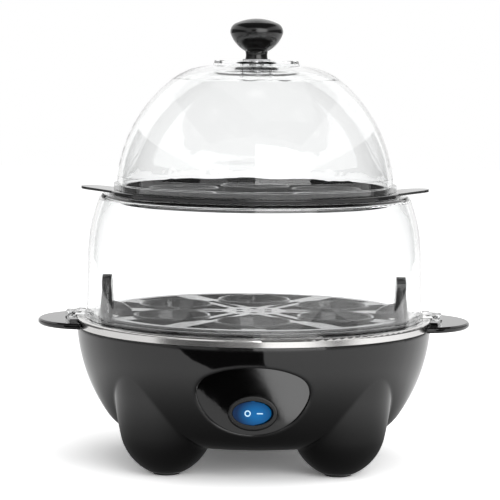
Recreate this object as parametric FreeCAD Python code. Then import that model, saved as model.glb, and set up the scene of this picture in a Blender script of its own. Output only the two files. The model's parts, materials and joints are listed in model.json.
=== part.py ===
import FreeCAD, Part
import math
import os

from FreeCAD import Placement, Rotation, Vector

# Two-tier electric egg cooker: a black bowl on four rounded legs, a steel water plate, a lower tray under a
# clear barrel, an upper tray with two wings, and a clear lid with a black knob.
# Millimetres. The origin is on the floor, on the axis of the bowl. +Z is up and the switch faces -Y.

# Clearances that the pieces share
body_gap = 0.3
fit_gap = 0.2
running_gap = 0.06
overrun = 4.0

# Four legs and their rubber pads
leg_count = 4
leg_circle_inset = 15.9
leg_flat_radius = 8.8
leg_shoulder_radius = 24.3
leg_shoulder_rise = 5.0
leg_top_radius = 29.2
leg_top_drop = 12.0
leg_bottom_bow = 3.0
leg_side_bow = 0.9
pad_radius = 7.4
pad_thickness = 2.2
pad_recess = 1.0

# Bowl of the base
housing_wall = 2.4
underside_height = 16.0
underside_inset = 15.5
haunch_inset = 16.3
haunch_rise = 10.5
haunch_bow = 1.64
bowl_bow = 3.5
rim_radius = 95.8
rim_height = 73.6
collar_inset = 0.8
collar_height = 3.4

# Bottom cover and its screws
cover_inset = 4.0
leg_land = 1.5
cover_screw_inset = 10.0
cover_boss_radius = 3.6
cover_boss_height = 10.0
cover_rib_height = 4.4
vent_count = 7
vent_width = 2.4
vent_length = 26.0
vent_pitch = 5.0

# Steel water plate with its rolled rim
plate_overhang = 0.4
plate_sheet = 0.8
ring_height = 4.7
ring_roll = 1.5
ledge_width = 18.2
ledge_bend = 2.4
well_slope = 18.0
well_depth = 18.0
well_bend = 6.0
well_bend_bow = 1.2
seal_width = 2.4

# Heating element, its spreader and the parts that guard it
spreader_inset = 8.0
spreader_thickness = 3.0
element_inset = 11.0
element_tube_radius = 3.2
element_opening = 36.0
element_leg_length = 9.0
element_drop = 1.2
tab_width = 6.3
tab_thickness = 0.8
tab_length = 9.0
thermostat_cap_radius = 8.3
thermostat_body_radius = 7.2
thermostat_body_height = 7.0
thermostat_tab_spread = 4.2
clip_half_length = 20.0
clip_width = 11.0
clip_sheet = 1.0
clip_screw_place = 15.5
clip_turn = 45.0
small_screw_radius = 1.4
small_head_radius = 2.8
small_head_height = 1.6
small_screw_length = 3.0
fuse_radius = 2.0
fuse_length = 13.0
fuse_lead_radius = 0.6
fuse_lead_length = 6.0
fuse_place = 26.0
saddle_width = 6.0
saddle_ear = 6.4

# Bridge that pulls the plate down on to the bowl
bridge_end = 4.5
bridge_width = 18.0
bridge_sheet = 1.2
bridge_flange = 4.0
bridge_flange_inset = 10.5
bridge_drop = 15.2
bridge_boss_radius = 4.6
bridge_boss_inset = 17.3
bridge_boss_depth = 17.0
stud_place = 27.0
stud_radius = 2.0
stud_spare = 4.6
nut_across_corners = 8.0
nut_height = 3.0
long_screw_length = 9.0

# Facet with the switch at the front of the bowl
facet_lean = 8.0
facet_inset = 17.4
facet_rim_drop = 35.6
facet_half_width = 28.8
facet_middle_rise = 13.0
facet_rise = 12.6
facet_drop = 24.0
facet_plate = 2.0
facet_depth = 24.0

# Rocker switch
bezel_half_width = 12.8
bezel_half_height = 9.0
bezel_thickness = 1.7
bezel_round = 0.8
bezel_collar_wall = 1.1
bezel_collar_length = 8.0
lens_half_width = 9.6
lens_half_height = 5.8
lens_end_gap = 0.9
lens_side_gap = 0.3
lens_proud = 2.6
lens_skirt = 2.2
saddle_depth = 0.9
rocker_core_width = 11.0
rocker_core_height = 9.4
rocker_core_depth = 7.6
rocker_pivot_depth = 3.0
rocker_pivot_radius = 1.0
rocker_pivot_reach = 0.9
rocker_throw = 14.0
switch_box_width = 25.0
switch_box_height = 17.0
switch_box_depth = 15.0
switch_well_depth = 5.4
switch_tab_spread = 7.5
lamp_radius = 1.7
lamp_height = 3.6

# Cord bush, terminal block and buzzer
bush_rise = 16.0
bush_inset = 11.2
bush_boss_radius = 9.4
bush_boss_depth = 12.0
bush_bore_radius = 3.4
bush_neck_radius = 6.0
bush_flange_radius = 8.0
bush_flange_thickness = 2.4
bush_nut_radius = 8.6
bush_nut_thickness = 3.0
block_width = 30.0
block_depth = 14.0
block_height = 12.0
block_place = 27.0
block_poles = 3
block_pitch = 9.0
block_bore_radius = 1.9
buzzer_radius = 10.0
buzzer_height = 5.5
buzzer_place = 31.0
buzzer_port_radius = 1.6
lead_radius = 1.0
lead_share = 0.45

# Lower tray
lower_tray_gap = 4.0
lower_tray_band = 4.6
lower_tray_thickness = 2.6
lower_pitch_inset = 34.4
seat_count = 6
seat_bottom_radius = 16.2
seat_flare = 2.6
seat_wall = 1.8
seat_drop = 4.6
seat_stand = 0.9
spoke_width = 12.5
spoke_slot_width = 4.0
hub_radius = 17.0
hub_slot_radius = 9.0
tray_rib_depth = 4.0
tray_rib_width = 1.6
post_height = 20.5
post_foot_thickness = 7.4
post_foot_width = 18.0
post_top_thickness = 5.0
post_top_width = 11.0
post_gusset_reach = 15.0
post_gusset_rise = 6.0
post_gusset_bow = 2.0

# Clear barrel over the lower tray
barrel_inset = 5.6
barrel_sheet = 2.2
barrel_flange_reach = 1.2
barrel_flange_height = 1.9
barrel_height = 66.0
barrel_bend_rise = 32.0
barrel_bend_inset = 0.6
barrel_shoulder_inset = 6.2
barrel_bow = 1.42
shoulder_round = 2.6
shoulder_bow = 0.7
neck_width = 11.0
neck_depth = 3.6

# Side grips of the barrel
grip_gap = 0.5
grip_depth = 20.4
grip_half_width = 31.0
grip_drop = 4.9
grip_thickness = 3.1
grip_bevel = 0.9
ridge_width = 4.6
ridge_turn = 30.0
ridge_round = 0.8
ear_half_width = 6.0
ear_thickness = 1.7
ear_overhang = 5.2
screw_bite_share = 0.7

# Upper tray
upper_rim_reach = 5.4
upper_rim_thickness = 2.3
upper_lip_inset = 1.2
upper_lip_rise = 2.4
upper_skirt_gap = 0.8
upper_skirt_depth = 5.2
upper_floor_drop = 3.4
upper_floor_thickness = 2.0
upper_pitch_inset = 26.6
upper_seat_bottom_radius = 15.4
wing_length = 15.2
wing_half_width = 17.0
wing_tip_rise = 1.6
wing_tip_thickness = 1.4
steam_slot_count = 6
steam_slot_width = 3.0
steam_slot_length = 10.0
steam_slot_inset = 12.1

# Clear lid
lid_gap = 1.0
lid_sheet = 2.0
lid_band_reach = 1.9
lid_band_height = 3.4
lid_waist_rise = 7.3
lid_height = 69.6
lid_shoulder_inset = 29.4
lid_shoulder_drop = 9.8
lid_side_bow = 6.1
lid_cap_radius = 23.5
lid_cap_step = 2.6
lid_crown_bow = 1.8
lid_boss_radius = 8.8
lid_boss_wall = 1.6
lid_boss_depth = 5.0
steam_hole_radius = 1.6
steam_hole_place = 16.0
steam_hole_count = 2

# Knob and its screw
knob_radius = 14.2
knob_height = 21.7
knob_crown_height = 7.7
knob_crown_radius = 10.6
knob_crown_rise = 2.2
knob_side_bow = 1.2
knob_under_bow = 1.25
knob_neck_radius = 6.1
knob_neck_height = 4.3
knob_waist_bow = -0.3
knob_washer_radius = 7.4
knob_washer_thickness = 0.8
knob_bore_radius = 2.0
knob_bore_depth = 12.0
knob_screw_length = 12.0
knob_screw_head_radius = 4.0
knob_screw_head_height = 2.2

# Heights and radii that follow from the sizes above
leg_bottom = pad_thickness - pad_recess
floor_top = underside_height + housing_wall
haunch_radius = rim_radius - haunch_inset
haunch_height = underside_height + haunch_rise
underside_radius = haunch_radius - underside_inset
leg_circle_radius = haunch_radius - leg_circle_inset
leg_shoulder_height = underside_height + leg_shoulder_rise
leg_top_height = rim_height - leg_top_drop
cover_radius = underside_radius - cover_inset
cover_screw_circle = cover_radius - cover_screw_inset
collar_radius = rim_radius - collar_inset
collar_top = rim_height + collar_height
plate_radius = rim_radius + plate_overhang
plate_top = rim_height + ring_height
plate_underside = plate_top - plate_sheet
ledge_inner_radius = plate_radius - ledge_width
well_radius = ledge_inner_radius - well_slope
well_top = plate_top - well_depth
well_underside = well_top - plate_sheet
spreader_radius = well_radius - spreader_inset
spreader_bottom = well_underside - spreader_thickness
element_circle_radius = spreader_radius - element_inset
element_height = spreader_bottom - element_drop
bridge_bottom = spreader_bottom - bridge_drop
bridge_boss_place = rim_radius - bridge_boss_inset
bridge_half_length = bridge_boss_place + bridge_end
bridge_flange_reach = bridge_boss_place - bridge_flange_inset
facet_reach = rim_radius - facet_inset
facet_height = rim_height - facet_rim_drop
facet_middle_height = facet_height + facet_middle_rise
bush_height = underside_height + bush_rise
bush_face_reach = rim_radius - bush_inset
lens_hole_half_width = lens_half_width + lens_end_gap
lens_hole_half_height = lens_half_height + lens_side_gap
switch_box_top = -bezel_collar_length
switch_back = switch_box_top - switch_box_depth
barrel_radius = plate_radius - barrel_inset
barrel_flange_top = plate_top + barrel_flange_height
barrel_bend_height = plate_top + barrel_bend_rise
barrel_top_height = plate_top + barrel_height
barrel_shoulder_radius = barrel_radius - barrel_shoulder_inset
neck_inner_radius = barrel_shoulder_radius - neck_width
lower_tray_radius = barrel_radius - barrel_sheet - lower_tray_gap
lower_pitch_radius = lower_tray_radius - lower_pitch_inset
post_place = lower_tray_radius - lower_tray_band
ear_bottom = barrel_flange_top - ear_thickness
grip_root = plate_radius + grip_gap
grip_bottom = plate_top - grip_drop
grip_top = grip_bottom + grip_thickness
grip_screw_face = grip_bottom + small_head_height
ear_reach = grip_root + ear_overhang
ear_screw_place = (grip_root + body_gap + ear_reach) / 2
upper_rim_top = barrel_top_height + upper_rim_thickness
upper_floor_bottom = barrel_top_height - upper_floor_drop
upper_skirt_radius = neck_inner_radius - upper_skirt_gap
upper_lip_radius = upper_skirt_radius - upper_lip_inset
upper_rim_radius = neck_inner_radius + upper_rim_reach
upper_pitch_radius = upper_skirt_radius - upper_pitch_inset
steam_slot_place = upper_skirt_radius - steam_slot_inset
wing_reach = upper_rim_radius + wing_length
lid_radius = upper_lip_radius + lid_gap + lid_sheet
lid_waist_height = upper_rim_top + lid_waist_rise
lid_cap_height = upper_rim_top + lid_height
lid_shoulder_height = lid_cap_height - lid_shoulder_drop
lid_shoulder_radius = lid_radius - lid_shoulder_inset
knob_foot = lid_cap_height + knob_washer_thickness
big = 2 * (grip_root + grip_depth)
facet = Placement(Vector(0, -facet_reach, facet_height), Rotation(Vector(1, 0, 0), 90 - facet_lean))
along_z = Vector(0, 0, 1)
centre = Vector(0, 0, 0)


def spaced(count, first=0):
    """Angles in degrees, evenly spaced round a full turn."""
    return [first + 360 * index / count for index in range(count)]


def polar(radius, angle, height=0):
    """Point at a radius and an angle in degrees."""
    turn = math.radians(angle)
    return Vector(radius * math.cos(turn), radius * math.sin(turn), height)


def path(points, depth=0):
    """Wire in the plane of X and Z. A third number is how far an arc to that point bows to its right."""
    edges = []
    here = Vector(points[0][0], depth, points[0][1])
    for point in points[1:]:
        end = Vector(point[0], depth, point[1])
        if bow_of(point) != 0:
            run = end - here
            side = Vector(run.z, 0, -run.x).normalize()
            middle = (here + end) / 2 + side * point[2]
            edges.append(Part.Arc(here, middle, end).toShape())
        elif here.distanceToPoint(end) > 0:
            edges.append(Part.LineSegment(here, end).toShape())
        here = end
    return Part.Wire(edges)


def quarter_bow(radius):
    """How far a quarter circle bows from its chord."""
    return radius * (1 - math.cos(math.radians(45)))


def crown_bow(radius, rise):
    """How far an arc bows from its chord when it runs on to the axis level, as the top of a ball does."""
    ball = (radius ** 2 + rise ** 2) / (2 * rise)
    return ball - math.sqrt(ball ** 2 - (radius ** 2 + rise ** 2) / 4)


def lathe(points, turn=360):
    """Solid turned about Z from a closed outline of radii and heights."""
    outline = Part.Face(path(points + [points[0][:2]]))
    return outline.revolve(centre, along_z, turn)


def headings(points):
    """Directions in which each run of a path leaves its first point and arrives at its last."""
    runs = []
    for start, end in zip(points, points[1:]):
        chord = Vector(end[0] - start[0], end[1] - start[1], 0)
        heading = math.atan2(chord.y, chord.x)
        swing = 2 * math.atan2(2 * bow_of(end), chord.Length)
        runs.append((heading - swing, heading + swing))
    return runs


def bow_of(point):
    return point[2] if len(point) == 3 else 0


def shifted(points, distance):
    """The same path moved to its left by a distance, with sharp corners kept sharp."""
    runs = headings(points)
    path_points = []
    for index, point in enumerate(points):
        before = runs[index - 1][1] if index > 0 else runs[0][0]
        after = runs[index][0] if index < len(runs) else runs[-1][1]
        turn = (after - before + math.pi) % (2 * math.pi) - math.pi
        side = before + turn / 2 + math.pi / 2
        reach = distance / math.cos(turn / 2)
        path_points.append([point[0] + reach * math.cos(side), point[1] + reach * math.sin(side)])
    for index in range(1, len(points)):
        path_points[index].append(bow_of(points[index]) * chord(path_points, index) / chord(points, index))
    return path_points


def chord(points, index):
    here = points[index]
    last = points[index - 1]
    return math.hypot(here[0] - last[0], here[1] - last[1])


def turned_sheet(points, thickness):
    """Sheet of even thickness turned about Z, on the left of a path that runs from its foot to the axis."""
    inner = shifted(points, thickness)
    back = [inner[-1][:2]]
    for index in range(len(inner) - 1, 0, -1):
        back.append(inner[index - 1][:2] + [-bow_of(inner[index])])
    return lathe(points + back)


def cylinder(radius, low, high, place=centre):
    return Part.makeCylinder(radius, high - low, Vector(place.x, place.y, low))


def tube(outer, inner, low, high, place=centre):
    return cylinder(outer, low, high, place).cut(cylinder(inner, low - overrun, high + overrun, place))


def block(width, depth, low, high, place=centre):
    """Upright block centred on a place in plan."""
    corner = Vector(place.x - width / 2, place.y - depth / 2, low)
    return Part.makeBox(width, depth, high - low, corner)


def turned(shape, angle):
    """Copy of a shape turned about Z."""
    copy = shape.copy()
    copy.rotate(centre, along_z, angle)
    return copy


def moved(shape, place):
    copy = shape.copy()
    copy.translate(place)
    return copy


def joined(shapes):
    """One solid from shapes that run into each other."""
    return shapes[0].fuse(shapes[1:]).removeSplitter()


def slot(length, width, low, high):
    """Upright slot along X with round ends, centred on the axis."""
    half = (length - width) / 2
    ends = [cylinder(width / 2, low, high, Vector(side * half, 0, 0)) for side in (-1, 1)]
    return joined([block(2 * half, width, low, high)] + ends)


def oval_outline(half_width, rise, drop, height, middle=0):
    """Egg-shaped closed curve: one half rises further along Y than the other drops."""
    points = []
    for angle in spaced(16):
        turn = math.radians(angle)
        reach = rise if math.sin(turn) > 0 else drop
        points.append(Vector(half_width * math.cos(turn), middle + reach * math.sin(turn), height))
    curve = Part.BSplineCurve()
    curve.interpolate(points, PeriodicFlag=True)
    return Part.Wire(curve.toShape())


def oval(half_width, rise, drop, low, high, middle=0):
    """Upright prism with an egg-shaped plan."""
    return Part.Face(oval_outline(half_width, rise, drop, low, middle)).extrude(Vector(0, 0, high - low))


def on_facet(shape):
    """Shape drawn with its face up, set into the leaning facet at the front."""
    copy = shape.copy()
    copy.Placement = facet.multiply(copy.Placement)
    return copy


def screw(head_radius, head_height, shank_radius, shank_length, place, face):
    """Pan-head screw from below: its head hangs under the face and its shank points up."""
    round_over = head_height / 2
    head = lathe([(0, face - head_height), (head_radius - round_over, face - head_height),
                  (head_radius, face - round_over, round_over / 4), (head_radius, face), (0, face)])
    shank = cylinder(shank_radius, face, face + shank_length)
    return moved(joined([head, shank]), place)


def leg(inset, bottom):
    """One leg as a turned pod, drawn in by an inset for the hollow inside it."""
    return lathe([(0, bottom + inset), (leg_flat_radius - inset / 2, bottom + inset),
                  (leg_shoulder_radius - inset, leg_shoulder_height, leg_bottom_bow),
                  (leg_top_radius - inset, leg_top_height, leg_side_bow), (0, leg_top_height)])


def four_legs(shape):
    return [moved(shape, polar(leg_circle_radius, angle)) for angle in spaced(leg_count, 45)]


def bowl(inset, top, collar):
    """Outside of the bowl, drawn in by an inset for the hollow inside it, up to a top height."""
    return lathe([(0, underside_height + inset), (underside_radius - inset, underside_height + inset),
                  (haunch_radius - inset, haunch_height + inset / 2, haunch_bow),
                  (rim_radius - inset, rim_height, bowl_bow), (collar, rim_height),
                  (collar, top), (0, top)])


def cover_outline(radius, clearance, low, high):
    """Disc that fits between the four legs."""
    notch = cylinder(leg_shoulder_radius + clearance, low - overrun, high + overrun)
    return cylinder(radius, low, high).cut(four_legs(notch))


def facet_window(growth, back):
    """Egg-shaped hole through the front of the bowl, as deep as a plane behind the facet."""
    low = facet_middle_height
    hole = oval(facet_half_width + growth, facet_rise + growth, facet_drop + growth, 0, big, low)
    hole.rotate(centre, Vector(1, 0, 0), 90)
    ahead = on_facet(Part.makeBox(big, big, big, Vector(-big / 2, -big / 2, -back)))
    return hole.common(ahead)


def cover_bosses():
    """Screw bosses for the cover, each on a rib from the wall."""
    top = floor_top + cover_boss_height
    rib_top = floor_top + cover_rib_height
    rib_length = haunch_radius - cover_screw_circle
    pieces = []
    for angle in spaced(leg_count):
        place = polar(cover_screw_circle, angle)
        middle = Vector(cover_screw_circle + rib_length / 2, 0, 0)
        rib = block(rib_length, housing_wall, floor_top, rib_top, middle)
        pieces += [cylinder(cover_boss_radius, floor_top, top, place), turned(rib, angle)]
    return pieces


def bridge_bosses():
    return [cylinder(bridge_boss_radius, bridge_bottom - bridge_boss_depth, bridge_bottom,
                     Vector(side * bridge_boss_place, 0, 0)) for side in (-1, 1)]


def bush_boss():
    """Flat-ended boss for the cord bush at the back of the bowl."""
    start = Vector(0, bush_face_reach - bush_boss_depth, bush_height)
    return Part.makeCylinder(bush_boss_radius, bush_boss_depth, start, Vector(0, 1, 0))


def base_housing():
    outside = joined([bowl(0, collar_top, collar_radius)] + four_legs(leg(0, leg_bottom)))
    inside = joined([bowl(housing_wall, collar_top + overrun, rim_radius - housing_wall)]
                    + four_legs(leg(housing_wall, leg_bottom)))
    shell = outside.cut(inside)
    pocket = facet_window(housing_wall, facet_plate + housing_wall)
    inner_parts = joined([pocket] + cover_bosses() + bridge_bosses()).common(outside)
    boss_bore = Part.makeCylinder(bush_neck_radius + fit_gap, bush_boss_depth + 2 * overrun,
                                  Vector(0, bush_face_reach - bush_boss_depth - overrun, bush_height),
                                  Vector(0, 1, 0))
    shell = joined([shell, inner_parts, bush_boss()])
    flange_seat = Part.makeCylinder(bush_flange_radius + fit_gap, big,
                                    Vector(0, bush_face_reach, bush_height), Vector(0, 1, 0))
    cuts = [facet_window(0, facet_plate), boss_bore, flange_seat, switch_hole(fit_gap)]
    cuts.append(cover_outline(cover_radius + body_gap, leg_land, underside_height - overrun, floor_top))
    cuts += four_legs(cylinder(pad_radius + fit_gap, leg_bottom - overrun, pad_thickness))
    pilot = small_screw_radius
    for angle in spaced(leg_count):
        cuts.append(cylinder(pilot, floor_top - overrun, floor_top + cover_boss_height - housing_wall,
                             polar(cover_screw_circle, angle)))
    for side in (-1, 1):
        cuts.append(cylinder(pilot, bridge_bottom - bridge_boss_depth + housing_wall, bridge_bottom + overrun,
                             Vector(side * bridge_boss_place, 0, 0)))
    return shell.cut(cuts)


def switch_hole(clearance):
    """Oval hole through the facet for the collar of the bezel."""
    growth = lens_end_gap + bezel_collar_wall + clearance
    height = lens_side_gap + bezel_collar_wall + clearance
    return on_facet(oval(lens_half_width + growth, lens_half_height + height, lens_half_height + height,
                         -facet_depth, overrun))


def control_panel():
    """Glossy plate that fills the bottom of the recess, level with its lower edge."""
    slab = on_facet(Part.makeBox(big, big, facet_plate, Vector(-big / 2, -big / 2, -facet_plate)))
    plate = facet_window(-fit_gap / 2, facet_plate).common(slab)
    return plate.common(bowl(0, collar_top, collar_radius)).cut(switch_hole(fit_gap))


def switch_bezel():
    flange = oval(bezel_half_width, bezel_half_height, bezel_half_height, 0, bezel_thickness)
    outer_edges = [edge for edge in flange.Edges if edge.BoundBox.ZMin > bezel_thickness / 2]
    flange = flange.makeFillet(bezel_round, outer_edges)
    end = lens_end_gap + bezel_collar_wall
    side = lens_side_gap + bezel_collar_wall
    collar = oval(lens_half_width + end, lens_half_height + side, lens_half_height + side,
                  -bezel_collar_length, 0)
    opening = oval(lens_hole_half_width, lens_hole_half_height, lens_hole_half_height,
                   -bezel_collar_length - overrun, bezel_thickness + overrun)
    bores = rocker_axle(rocker_pivot_radius + running_gap, lens_half_height + side + overrun)
    return on_facet(joined([flange, collar]).cut([opening, bores]))


def rocker_axle(radius, reach):
    """Axle along the height of the facet."""
    return Part.makeCylinder(radius, 2 * reach, Vector(0, -reach, -rocker_pivot_depth), Vector(0, 1, 0))


def rocker():
    """Lens of the switch, with a saddle-shaped top, tipped to the side that is pressed in."""
    lens = oval(lens_half_width, lens_half_height, lens_half_height, -lens_skirt, lens_proud)
    saddle_radius = (lens_half_width ** 2 + saddle_depth ** 2) / (2 * saddle_depth)
    saddle = Part.makeCylinder(saddle_radius, 4 * lens_half_height,
                               Vector(0, -2 * lens_half_height, lens_proud - saddle_depth + saddle_radius),
                               Vector(0, 1, 0))
    core = block(rocker_core_width, rocker_core_height, -rocker_core_depth, 0)
    hollow = cylinder(lamp_radius + 2 * lens_side_gap, -rocker_core_depth - overrun, -lens_skirt)
    axle = rocker_axle(rocker_pivot_radius, lens_hole_half_height + rocker_pivot_reach)
    piece = joined([lens.cut(saddle), core, axle]).cut(hollow)
    piece.rotate(Vector(0, 0, -rocker_pivot_depth), Vector(0, 1, 0), -rocker_throw / 2)
    return on_facet(piece)


def switch_body():
    """Closed box behind the bezel, with the well that the rocker dips into."""
    box = block(switch_box_width, switch_box_height, switch_back, switch_box_top)
    corners = [edge for edge in box.Edges if edge.BoundBox.ZLength > switch_box_depth / 2]
    box = box.makeFillet(bezel_round, corners)
    well = oval(lens_hole_half_width, lens_hole_half_height, lens_hole_half_height,
                switch_box_top - switch_well_depth, switch_box_top + overrun)
    return on_facet(box.cut(well))


def switch_terminals():
    tabs = []
    for place in (-switch_tab_spread, 0, switch_tab_spread):
        tabs.append(on_facet(block(tab_thickness, tab_width, switch_back - tab_length, switch_back,
                                   Vector(place, 0, 0))))
    return tabs


def switch_lamp():
    """Small lamp that stands on the floor of the well, under the lens."""
    bottom = switch_box_top - switch_well_depth
    straight = lamp_height - lamp_radius
    lamp = lathe([(0, bottom), (lamp_radius, bottom), (lamp_radius, bottom + straight),
                  (0, bottom + lamp_height, quarter_bow(lamp_radius))])
    return on_facet(lamp)


def bottom_cover():
    plate = cover_outline(cover_radius, leg_land + body_gap, underside_height, floor_top)
    cuts = []
    for index in range(vent_count):
        place = Vector(0, (index - (vent_count - 1) / 2) * vent_pitch, 0)
        cuts.append(moved(slot(vent_length, vent_width, 0, floor_top + overrun), place))
    for angle in spaced(leg_count):
        place = polar(cover_screw_circle, angle)
        cuts.append(cylinder(small_screw_radius + fit_gap, 0, floor_top + overrun, place))
        cuts.append(cylinder(small_head_radius + fit_gap, 0, underside_height + small_head_height, place))
    cuts.append(cylinder(buzzer_port_radius, 0, floor_top + overrun, Vector(-buzzer_place, 0, 0)))
    return plate.cut(cuts)


def cover_screws():
    face = underside_height + small_head_height
    length = floor_top + cover_boss_height / 2 - face
    shank = small_screw_radius - running_gap
    return [screw(small_head_radius, small_head_height, shank, length, polar(cover_screw_circle, angle), face)
            for angle in spaced(leg_count)]


def foot_pads():
    rim = pad_recess / 2
    pad = lathe([(0, 0), (pad_radius - rim, 0), (pad_radius, rim, rim / 4),
                 (pad_radius, pad_thickness), (0, pad_thickness)])
    return four_legs(pad)


def heating_plate():
    """Pressed steel plate: rolled rim over the bowl, flat ledge, then a shallow well for the water."""
    skirt_end = rim_height + body_gap
    return turned_sheet([(plate_radius, skirt_end), (plate_radius, plate_top - ring_roll),
                         (plate_radius - ring_roll, plate_top, quarter_bow(ring_roll)),
                         (ledge_inner_radius, plate_top),
                         (ledge_inner_radius - ledge_bend, plate_top - ledge_bend,
                          -quarter_bow(ledge_bend) / 2),
                         (well_radius + well_bend, well_top + well_bend / 2),
                         (well_radius, well_top, well_bend_bow),
                         (0, well_top)], plate_sheet)


def plate_seal():
    """Soft ring squeezed between the bowl and the plate."""
    outer = plate_radius - ring_roll - body_gap
    return tube(outer, outer - seal_width, collar_top, plate_underside)


def heat_spreader():
    """Aluminium disc under the well, grooved for the element, with two studs for the bridge."""
    disc = cylinder(spreader_radius, spreader_bottom, well_underside)
    cuts = [element_tube(element_tube_radius + running_gap)]
    cuts.append(cylinder(thermostat_cap_radius + fit_gap, spreader_bottom - overrun,
                         well_underside + overrun))
    cuts += [cylinder(small_screw_radius, spreader_bottom - overrun, spreader_bottom + 2 * clip_sheet, place)
             for place in clip_screw_places()]
    stud_bottom = bridge_bottom - nut_height - stud_spare / 2
    studs = [cylinder(stud_radius, stud_bottom, spreader_bottom + clip_sheet, Vector(side * stud_place, 0, 0))
             for side in (-1, 1)]
    return joined([disc.cut(cuts)] + studs)


def element_ends():
    return [polar(element_circle_radius, 90 + side * element_opening / 2, element_height) for side in (-1, 1)]


def element_tube(radius):
    """Open ring with its gap at the back, and two cold ends that turn down."""
    section = Part.Wire(Part.makeCircle(radius, Vector(element_circle_radius, 0, element_height),
                                        Vector(0, 1, 0)))
    ring = Part.Face(section).revolve(centre, along_z, 360 - element_opening)
    pieces = [turned(ring, 90 + element_opening / 2)]
    for end in element_ends():
        pieces.append(Part.makeSphere(radius, end))
        pieces.append(cylinder(radius, end.z - element_leg_length, end.z, end))
    return joined(pieces)


def heating_element():
    return element_tube(element_tube_radius)


def element_terminals():
    tabs = []
    for end in element_ends():
        top = end.z - element_leg_length
        tabs.append(block(tab_thickness, tab_width / 2, top - tab_length, top, end))
    return tabs


def thermostat():
    """Snap-disc thermostat: a cap against the well, a body below it and two tabs."""
    body_bottom = spreader_bottom - thermostat_body_height
    body = joined([cylinder(thermostat_cap_radius, spreader_bottom, well_underside),
                   cylinder(thermostat_body_radius, body_bottom, spreader_bottom)])
    tabs = [block(tab_thickness, tab_width, body_bottom - tab_length / 2, body_bottom,
                  Vector(side * thermostat_tab_spread, 0, 0)) for side in (-1, 1)]
    return joined([body] + tabs)


def thermostat_clip():
    """Strap under the cap of the thermostat, screwed to the spreader at both ends."""
    strap = turned(slot(2 * clip_half_length, clip_width, spreader_bottom - clip_sheet, spreader_bottom),
                   clip_turn)
    collar = cylinder(thermostat_body_radius + thermostat_cap_radius / 2, spreader_bottom - clip_sheet,
                      spreader_bottom)
    cuts = [cylinder(thermostat_body_radius + fit_gap, 0, big)]
    cuts += [cylinder(small_screw_radius + running_gap, 0, big, place) for place in clip_screw_places()[:2]]
    return joined([strap, collar]).cut(cuts)


def clip_screw_places():
    """Two screws in the strap, then two in the saddle of the fuse."""
    strap = [polar(clip_screw_place, clip_turn + half_turn) for half_turn in (0, 180)]
    return strap + [saddle_screw_place(side) for side in (-1, 1)]


def clip_screws():
    face = spreader_bottom - clip_sheet
    shank = small_screw_radius - running_gap
    length = small_screw_length - clip_sheet / 2
    return [screw(small_head_radius, small_head_height, shank, length, place, face)
            for place in clip_screw_places()]


def fuse_axis():
    """Where the thermal fuse lies, under the spreader at the front."""
    return Vector(0, -fuse_place, spreader_bottom - fuse_radius - running_gap)


def saddle_screw_place(side):
    reach = fuse_radius + clip_sheet + saddle_ear / 2
    return Vector(0, -fuse_place + side * reach, 0)


def thermal_fuse():
    """Fuse with its two leads, lying along X."""
    line = fuse_axis()
    half = fuse_length / 2
    body = Part.makeCylinder(fuse_radius, fuse_length, line - Vector(half, 0, 0), Vector(1, 0, 0))
    lead_span = fuse_length + 2 * fuse_lead_length
    lead = Part.makeCylinder(fuse_lead_radius, lead_span, line - Vector(lead_span / 2, 0, 0), Vector(1, 0, 0))
    return joined([body, lead])


def fuse_clip():
    """Saddle that holds the fuse up against the spreader, with an ear on each side."""
    line = fuse_axis()
    inner = fuse_radius + running_gap
    outer = inner + clip_sheet
    start = line - Vector(saddle_width / 2, 0, 0)
    arch = Part.makeCylinder(outer, saddle_width, start, Vector(1, 0, 0))
    walls = block(saddle_width, 2 * outer, line.z, spreader_bottom, line)
    ear_span = 2 * (outer + saddle_ear)
    ears = block(saddle_width, ear_span, spreader_bottom - clip_sheet, spreader_bottom, line)
    span = saddle_width + 2 * overrun
    bed = Part.makeCylinder(inner, span, start - Vector(overrun, 0, 0), Vector(1, 0, 0))
    cuts = [bed, block(span, 2 * inner, line.z, spreader_bottom + overrun, line)]
    cuts.append(block(span, big, spreader_bottom, spreader_bottom + outer, line))
    cuts += [cylinder(small_screw_radius + running_gap, 0, big, place) for place in clip_screw_places()[2:]]
    return joined([arch, walls, ears]).cut(cuts)


def plate_bridge():
    """Pressed bar across the bowl. Its edges are turned down for stiffness, clear of the bosses."""
    bottom = bridge_bottom
    bar = slot(2 * bridge_half_length, bridge_width, bottom, bottom + bridge_sheet)
    half_flange = bridge_sheet / 2
    edges = [block(2 * bridge_flange_reach, bridge_sheet, bottom - bridge_flange, bottom,
                   Vector(0, side * (bridge_width / 2 - half_flange), 0)) for side in (-1, 1)]
    cuts = []
    for side in (-1, 1):
        cuts.append(cylinder(stud_radius + fit_gap, 0, big, Vector(side * stud_place, 0, 0)))
        cuts.append(cylinder(small_screw_radius + fit_gap, 0, big, Vector(side * bridge_boss_place, 0, 0)))
    return joined([bar] + edges).cut(cuts)


def bridge_nuts():
    """Hexagon nuts that draw the studs down on the bridge."""
    nuts = []
    for side in (-1, 1):
        corners = [polar(nut_across_corners / 2, angle, bridge_bottom - nut_height) for angle in spaced(6)]
        hexagon = Part.Face(Part.makePolygon(corners + corners[:1])).extrude(Vector(0, 0, nut_height))
        nut = hexagon.cut(cylinder(stud_radius + running_gap, 0, big))
        nuts.append(moved(nut, Vector(side * stud_place, 0, 0)))
    return nuts


def bridge_screws():
    """Screws from above, through the ends of the bridge into the bosses."""
    face = bridge_bottom + bridge_sheet
    shank = small_screw_radius - running_gap
    screws = []
    for side in (-1, 1):
        piece = screw(small_head_radius, small_head_height, shank, long_screw_length, centre, 0)
        piece.rotate(centre, Vector(1, 0, 0), 180)
        screws.append(moved(piece, Vector(side * bridge_boss_place, 0, face)))
    return screws


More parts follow.
